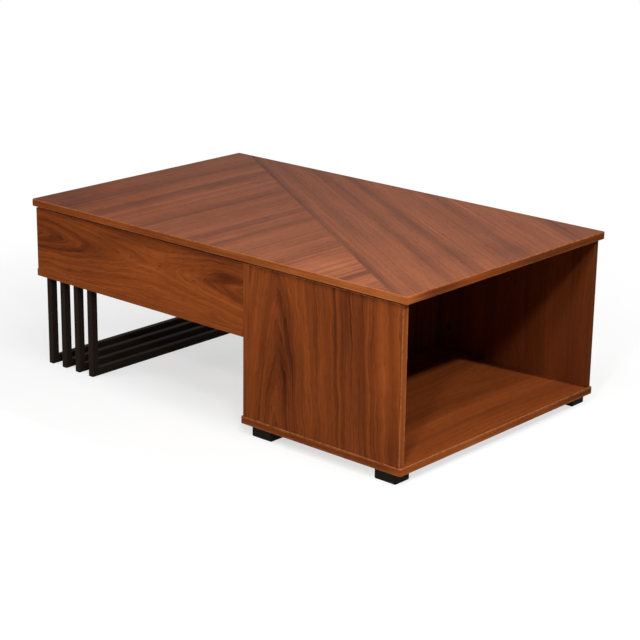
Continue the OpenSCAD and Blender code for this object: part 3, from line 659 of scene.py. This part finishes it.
plainFigure = {0.00: 1.00, 0.04: 0.82, 0.07: 1.14, 0.11: 0.92, 0.15: 1.18, 0.19: 0.76,
               0.23: 1.10, 0.27: 0.88, 0.32: 1.12, 0.36: 0.84, 0.42: 1.08}
plainBoard = {"pith": (1.7, 0.09, 0.10, 0.1), "sway": 0.02, "figure": plainFigure, "contrast": 0.9}
otherBoards = {          # grain, across, normal side, seed
    "top_core": (alongX, alongY, 2, 31.0),
    "rear_apron": (alongX, alongZ, 1, 33.0),
    "end_apron": (alongY, alongZ, 0, 35.0),
    "storage_floor": (alongX, alongY, 2, 37.0),
    "partition": (alongZ, alongY, 0, 39.0),
    "cabinet_back": (alongZ, alongX, 1, 41.0),
    "cabinet_floor": (alongY, alongX, 2, 43.0),
}
boardTones = {
    "partition": {        # painted shade on its cabinet face only
        "tone": 0.95, "shine": 0.08, "plane": frontPlan,
        "spots": [(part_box("partition")[1].x, 0.2, 0.007, 9.0, -0.46)]},
    "cabinet_back": {
        "contrast": 0.6, "tone": 0.88, "shine": 0.12, "plane": frontPlan,
        # The spots are painted light and shade: darker deep in and right at the opening, lighter low
        # down where light falls in under the end of the top.
        "spots": [(0.30, 0.28, 0.12, 0.16, -0.12), (0.59, 0.22, 0.05, 0.30, -0.16),
                  (0.46, 0.14, 0.07, 0.12, 0.22), (0.52, 0.30, 0.05, 0.08, 0.10)]},
    "cabinet_floor": {"contrast": 0.6, "tone": 1.10},
}
for name, (along, across, side, seed) in otherBoards.items():
    low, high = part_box(name)
    dress(name, boardMaterial(name + "Walnut", {
        **plainBoard, "along": along, "across": across, "centre": tuple((low + high) / 2),
        "seed": seed, **boardTones.get(name, {}), "thickness": (axes[side], low[side], high[side])}))

bands = {
    "top_edge_band": {
        "run": (1, 1, 0), "tone": 0.47, "wearAndHighlight": 0.8, "wearAndHighlightWidth": 0.0028, "plane": floorPlan,
        # The spots are painted light: the front strip lighter towards the right end, the end strip
        # darker towards the back. The wear is in part a painted highlight.
        "spots": [(0.60, -0.37, 0.45, 0.05, 0.46), (0.60, 0.05, 0.05, 0.25, -0.24),
                  (0.60, 0.37, 0.05, 0.22, -0.46), (0.60, -0.28, 0.03, 0.08, -0.24)]},
    "storage_floor_band": {"run": (1, 1, 0), "tone": 0.50, "wearAndHighlight": 0.1, "wearAndHighlightWidth": 0.002},
    "cabinet_floor_band": {
        "run": (1, 1, 0), "tone": 0.36, "wearAndHighlight": 0.8, "wearAndHighlightWidth": 0.006, "plane": floorPlan,
        # The spots are painted light: the end strip lighter towards the front and darker at the back,
        # the front strip a little darker. The wear is in part a painted highlight.
        "spots": [(0.35, -0.37, 0.40, 0.03, -0.06), (0.60, -0.20, 0.03, 0.35, 0.38),
                  (0.60, 0.34, 0.03, 0.12, -0.34)]},
    "front_apron_band": {"run": alongX, "tone": 0.45},
    "rear_apron_band": {"run": alongX, "tone": 0.45},
    "end_apron_band": {"run": alongY, "tone": 0.45},
    "partition_band": {"run": alongZ, "tone": 0.45},
    "cabinet_front_band": {
        # its wear is in part a painted highlight on the rounded corner
        "run": alongZ, "tone": 0.56, "wearAndHighlight": 0.9, "wearAndHighlightWidth": 0.006, "wearAndHighlightEdge": alongY},
    # its low tone is painted shade
    "cabinet_back_band": {"run": alongZ, "tone": -0.10},
}
for index, (name, band) in enumerate(bands.items()):
    seed = edging["seed"] + index * edging["seedStep"]
    dress(name, edgingMaterial(name, {**band, "seed": seed}))
print("stage: boards and bands")


# Everything that keeps its CAD shape

plainNodes = {
    "legPaint": ["leg_front_posts", "leg_rear_posts", "leg_floor_bars", "leg_front_plate",
                 "leg_rear_plate"],
    "liftPaint": ["left_base_bracket", "right_base_bracket", "left_top_bracket",
                  "right_top_bracket"],
    "armPaint": ["left_rear_arm", "right_rear_arm", "left_front_arm", "right_front_arm"],
    "footPlastic": ["foot_front_left", "foot_front_right", "foot_rear_left", "foot_rear_right"],
    "washerNylon": ["base_washers", "top_washers"],
    "dowelBeech": ["dowels"],
    "camZinc": ["cam_locks", "cam_bolts"],
}
for finish, names in plainNodes.items():
    material = finishOf(finish)
    for name in names:
        dress(name, material)
print("stage: leg, feet and lift arms")


# Screws, rivets, pins and bumpers: turned from a profile, one on each place that the
# frame gives for them

def newTree(name, sizes):
    # a geometry tree whose inputs are named sizes; gives its sheet and its input wires
    tree = bpy.data.node_groups.new(name, "GeometryNodeTree")
    tree.interface.new_socket("Geometry", in_out="INPUT", socket_type="NodeSocketGeometry")
    for size, value in sizes.items():
        kind = "NodeSocketMaterial" if value is None else "NodeSocketFloat"
        socket = tree.interface.new_socket(size, in_out="INPUT", socket_type=kind)
        if value is not None:
            socket.default_value = value
    tree.interface.new_socket("Geometry", in_out="OUTPUT", socket_type="NodeSocketGeometry")
    sheet = Wire(tree)
    entry = sheet.node("NodeGroupInput", {}, {}, None)
    return sheet, {socket.name: Wire(tree, socket) for socket in entry.outputs if socket.name}


def closeTree(sheet, shape, material):
    smooth = sheet.node("GeometryNodeSetShadeSmooth", {}, {"Geometry": shape})
    real = sheet.node("GeometryNodeRealizeInstances", {}, {"Geometry": smooth})
    painted = sheet.node("GeometryNodeSetMaterial", {}, {"Geometry": real, "Material": material})
    sheet.node("NodeGroupOutput", {}, {"Geometry": painted}, None)
    return sheet.tree


turning = {
    "rings": 72,              # from the head to the tip
    "sides": 20,
    "domeShare": 0.96,        # a full dome keeps a small flat
    "tip": 0.5,               # its radius, as a share of the shank's
    "recess": (2.0, 0.42, 1.5),      # length, width and depth of the cross, over the recess
    "leastRecess": 0.0001,    # a smaller one isn't cut
    "screwRecess": 0.55,      # over the head radius
}


def fittingTree():
    sheet, size = newTree("turnedFitting", {
        "Head Radius": 0.004, "Head Height": 0.002, "Cone": 1.0, "Dome": 0.0,
        "Shank Radius": 0.002, "Length": 0.015, "Thread Pitch": 0.0012, "Thread Depth": 0.0,
        "Recess": 0.0, "Material": None})
    ends = sheet.node("ShaderNodeCombineXYZ", {}, {2: size["Length"] * -1.0})
    axis = sheet.node("GeometryNodeCurvePrimitiveLine", {"mode": "POINTS"},
                      {"Start": (0, 0, 0), "End": ends})
    rings = sheet.node("GeometryNodeResampleCurve", {"mode": "COUNT"},
                       {"Curve": axis, "Count": turning["rings"]})
    down = sheet.node("GeometryNodeSplineParameter", {}, {}, "Factor") * size["Length"]
    inHead = down < size["Head Height"]
    part = (1.0 - down / size["Head Height"]).clamped()
    dome = (1.0 - part * part * size["Dome"] * turning["domeShare"]) ** 0.5
    head = size["Head Radius"] * dome - down * size["Cone"]
    turn = (down / size["Thread Pitch"]).fraction()
    towardsTip = ((size["Length"] - down) / size["Shank Radius"]).clamped()
    tip = towardsTip * (1 - turning["tip"]) + turning["tip"]
    shank = (size["Shank Radius"] - turn * size["Thread Depth"]) * tip
    radius = inHead * head.atLeast(shank) + (1.0 - inHead) * shank
    circle = sheet.node("GeometryNodeCurvePrimitiveCircle", {"mode": "RADIUS"},
                        {"Resolution": turning["sides"], "Radius": 1.0}, "Curve")
    turned = sheet.node("GeometryNodeCurveToMesh", {}, {
        "Curve": rings, "Profile Curve": circle, "Scale": radius, "Fill Caps": True})
    long, wide, deep = (size["Recess"] * share for share in turning["recess"])
    bars = []
    for x, y in ((long, wide), (wide, long)):
        block = sheet.node("ShaderNodeCombineXYZ", {}, {0: x, 1: y, 2: deep})
        bars.append(sheet.node("GeometryNodeMeshCube", {}, {"Size": block}))
    cross = sheet.node("GeometryNodeMeshBoolean", {"operation": "UNION", "solver": "EXACT"},
                       {"Mesh 2": bars[0]})
    sheet.tree.links.new(bars[1].socket, cross.socket.node.inputs["Mesh 2"])
    cut = sheet.node("GeometryNodeMeshBoolean", {"operation": "DIFFERENCE", "solver": "EXACT"},
                     {"Mesh 1": turned, "Mesh 2": cross})
    chosen = sheet.node("GeometryNodeSwitch", {"input_type": "GEOMETRY"}, {
        "Switch": size["Recess"] > turning["leastRecess"], "False": turned, "True": cut})
    facing = sheet.node("GeometryNodeInputNamedAttribute", {"data_type": "FLOAT_VECTOR"},
                        {"Name": "facing"})
    turnedTo = sheet.node("FunctionNodeAlignRotationToVector", {"axis": "Z"}, {"Vector": facing})
    placed = sheet.node("GeometryNodeInstanceOnPoints", {}, {
        "Points": size["Geometry"], "Instance": chosen, "Rotation": turnedTo})
    return closeTree(sheet, placed, size["Material"])


def wireTree(sides):
    sheet, size = newTree("bentWire", {"Wire Radius": 0.001, "Material": None})
    path = sheet.node("GeometryNodeMeshToCurve", {}, {"Mesh": size["Geometry"]})
    ring = sheet.node("GeometryNodeCurvePrimitiveCircle", {"mode": "RADIUS"},
                      {"Resolution": sides, "Radius": size["Wire Radius"]}, "Curve")
    bent = sheet.node("GeometryNodeCurveToMesh", {}, {
        "Curve": path, "Profile Curve": ring, "Fill Caps": True})
    return closeTree(sheet, bent, size["Material"])


def grow(name, points, edges, tree, sizes, material, facings=None):
    # a mesh of points or lines, grown by a tree into a plain mesh
    mesh = bpy.data.meshes.new(name)
    mesh.from_pydata(points, edges, [])
    if facings:
        layer = mesh.attributes.new("facing", "FLOAT_VECTOR", "POINT")
        for item, value in zip(layer.data, facings):
            item.vector = value
    piece = bpy.data.objects.new(name, mesh)
    bpy.context.scene.collection.objects.link(piece)
    modifier = piece.modifiers.new("grow", "NODES")
    modifier.node_group = tree
    for item in tree.interface.items_tree:
        if item.in_out == "INPUT" and item.name == "Material":
            modifier[item.identifier] = material
        elif item.in_out == "INPUT" and item.name in sizes:
            modifier[item.identifier] = float(sizes[item.name])
    bpy.context.view_layer.update()
    evaluated = piece.evaluated_get(bpy.context.evaluated_depsgraph_get())
    grown = bpy.data.meshes.new_from_object(evaluated)
    piece.modifiers.remove(modifier)
    piece.data = grown
    grown.name = name
    return piece


sameCorner = 1e-6        # corners this close are one
rimShare = 0.98          # corners past this share of the greatest reach are on the rim


def solidsOf(name):
    # the separate solids of a node, each as its list of corners
    maker = bmesh.new()
    maker.from_mesh(nodes[name].data)
    bmesh.ops.remove_doubles(maker, verts=maker.verts, dist=sameCorner)
    left, solids = dict.fromkeys(maker.verts), []      # a dict, to walk in the same order each run
    while left:
        reach, found = [left.popitem()[0]], []
        while reach:
            corner = reach.pop()
            found.append(corner.co.copy())
            for edge in corner.link_edges:
                other = edge.other_vert(corner)
                if other in left:
                    del left[other]
                    reach.append(other)
        solids.append(found)
    maker.free()
    return solids


def turnedPlace(corners):
    # top of the head, direction it faces, length and head radius of a round solid
    low = Vector([min(c[i] for c in corners) for i in range(3)])
    high = Vector([max(c[i] for c in corners) for i in range(3)])
    extent, middle = high - low, (low + high) / 2
    axis = min(range(3), key=lambda i: abs(extent[(i + 1) % 3] - extent[(i + 2) % 3]))
    reach = [(c - middle, (c - middle).length_squared - (c - middle)[axis] ** 2) for c in corners]
    widest = max(far for offset, far in reach)
    side = sum(offset[axis] for offset, far in reach if far > rimShare * widest)
    facing = Vector((0, 0, 0))
    facing[axis] = 1.0 if side > 0 else -1.0
    return middle + facing * extent[axis] / 2, facing, extent[axis], widest ** 0.5


screw = {"Cone": 1.0, "Dome": 0.0, "Shank Radius": 0.002, "Thread Depth": 0.0005}
longScrew = {**screw, "Shank Radius": 0.0032, "Thread Pitch": 0.003, "Thread Depth": 0.0008}
rivet = {"Head Height": 0.0017, "Cone": 0.0, "Dome": 0.8, "Shank Radius": 0.00398}
stopPin = {"Head Height": 0.0015, "Cone": 0.0, "Dome": 0.35, "Shank Radius": 0.00398}
springStud = {**stopPin, "Shank Radius": 0.00298}
bumper = {"Head Height": 0.0039, "Cone": -0.1, "Dome": 0.5, "Shank Radius": 0.0049}
zinc = "zincPlate", "zinc_plate"
fittings = {          # node: body, finish, slot, sizes
    "foot_screws": ("base", *zinc, screw),
    "leg_screws": ("base", *zinc, screw),
    "base_bracket_screws": ("base", *zinc, screw),
    "top_bracket_screws": ("top", *zinc, screw),
    "carcass_screws": ("base", *zinc, longScrew),
    "base_pivot_rivets": ("base", *zinc, rivet),
    "top_pivot_rivets": ("top", *zinc, rivet),
    "stop_pins": ("base", *zinc, stopPin),
    "spring_anchor_studs": ("base", *zinc, springStud),
    "left_spring_stud": ("left_rear_arm", *zinc, springStud),
    "right_spring_stud": ("right_rear_arm", *zinc, springStud),
    "bumpers": ("base", "bumperRubber", "bumper_rubber", bumper),
}
finishMade = {finish: finishOf(finish) for finish in ("zincPlate", "bumperRubber", "springSteel")}
fitting = fittingTree()
for name, (body, finish, slot, sizes) in fittings.items():
    places = [turnedPlace(corners) for corners in solidsOf(name)]
    top, facing, length, radius = places[0]
    sizes = {"Length": length, "Head Radius": radius, **sizes}
    if sizes["Cone"] == 1.0:
        sizes["Head Height"] = radius - sizes["Shank Radius"]
        sizes["Recess"] = radius * turning["screwRecess"]
    piece = grow("turned_" + name, [place[0] for place in places], [], fitting, sizes,
                 finishMade[finish], [place[1] for place in places])
    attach(piece, body)
    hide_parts(name)
print("stage: screws, rivets and bumpers")


# Springs: a coil between two hooks. The lever's stud is level with the hook at rest and
# fully open. Part of the way it dips, which the hook doesn't follow.

spring = {
    "wire": 0.0011,
    "wireSides": 10,
    "coil": 0.006,
    "hook": 0.0044,
    "hookTurn": (40, 321, 10),      # degrees: start, end and step
    "hookPull": (0, 0.003, -0.001),         # how the lead leaves the hook
    "coilPull": (-0.004, -0.0006, 0),       # and how it comes to the first turn
    "leadSteps": 12,
    "lead": 0.012,      # from a pin to the first turn
    "turns": 24,
    "turnSteps": 24,
    "travel": 0.054,    # how far the lever end moves
}


def hookPath(toCoil):
    # round the pin, then over to the first turn; toCoil is +1 or -1 along Y
    loop = [Vector((0, math.cos(math.radians(a)), math.sin(math.radians(a)))) * spring["hook"]
            for a in range(*spring["hookTurn"])]
    first, last = loop[-1], Vector((0, spring["lead"], -spring["coil"]))
    pulls = first, first + Vector(spring["hookPull"]), last + Vector(spring["coilPull"]), last
    for step in range(1, spring["leadSteps"] + 1):
        t = step / spring["leadSteps"]
        shares = (1 - t) ** 3, 3 * t * (1 - t) ** 2, 3 * t * t * (1 - t), t ** 3
        loop.append(sum((pull * share for pull, share in zip(pulls, shares)), Vector((0, 0, 0))))
    return [Vector((p.x * toCoil, p.y * toCoil, p.z)) for p in loop]


def coilPath(length):
    count = spring["turns"] * spring["turnSteps"]
    turns = [math.radians(i * 360 / spring["turnSteps"] - 90) for i in range(count + 1)]
    return [Vector((spring["coil"] * math.cos(turn), length * i / count,
                    spring["coil"] * math.sin(turn))) for i, turn in enumerate(turns)]


wire = wireTree(spring["wireSides"])
anchors = [turnedPlace(corners)[0] for corners in solidsOf("spring_anchor_studs")]
for side in ("left", "right"):
    name = side + "_spring"
    low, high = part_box(side + "_spring_stud")
    middle = (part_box(name)[0].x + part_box(name)[1].x) / 2
    lever = Vector((middle, (low.y + high.y) / 2, (low.z + high.z) / 2))
    reach = min(anchors, key=lambda place: abs(place.x - middle))
    anchor = Vector((middle, reach.y, reach.z))
    length = anchor.y - lever.y - 2 * spring["lead"]
    parts = {
        "leverHook": (lever, hookPath(1)),
        "coil": (lever + Vector((0, spring["lead"], 0)), coilPath(length)),
        "anchorHook": (anchor, hookPath(-1)),
    }
    for part, (origin, path) in parts.items():
        points = [origin + point for point in path]
        piece = grow(side + part[0].upper() + part[1:], points,
                     [(i, i + 1) for i in range(len(points) - 1)], wire,
                     {"Wire Radius": spring["wire"]}, finishMade["springSteel"])
        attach(piece, "base")
        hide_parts(name)
        if part == "coil":
            1 - spring["travel"] / length
            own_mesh(piece)
        elif part == "leverHook":
            # nearly rigid: its anchor is far behind
            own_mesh(piece)
print("stage: springs")
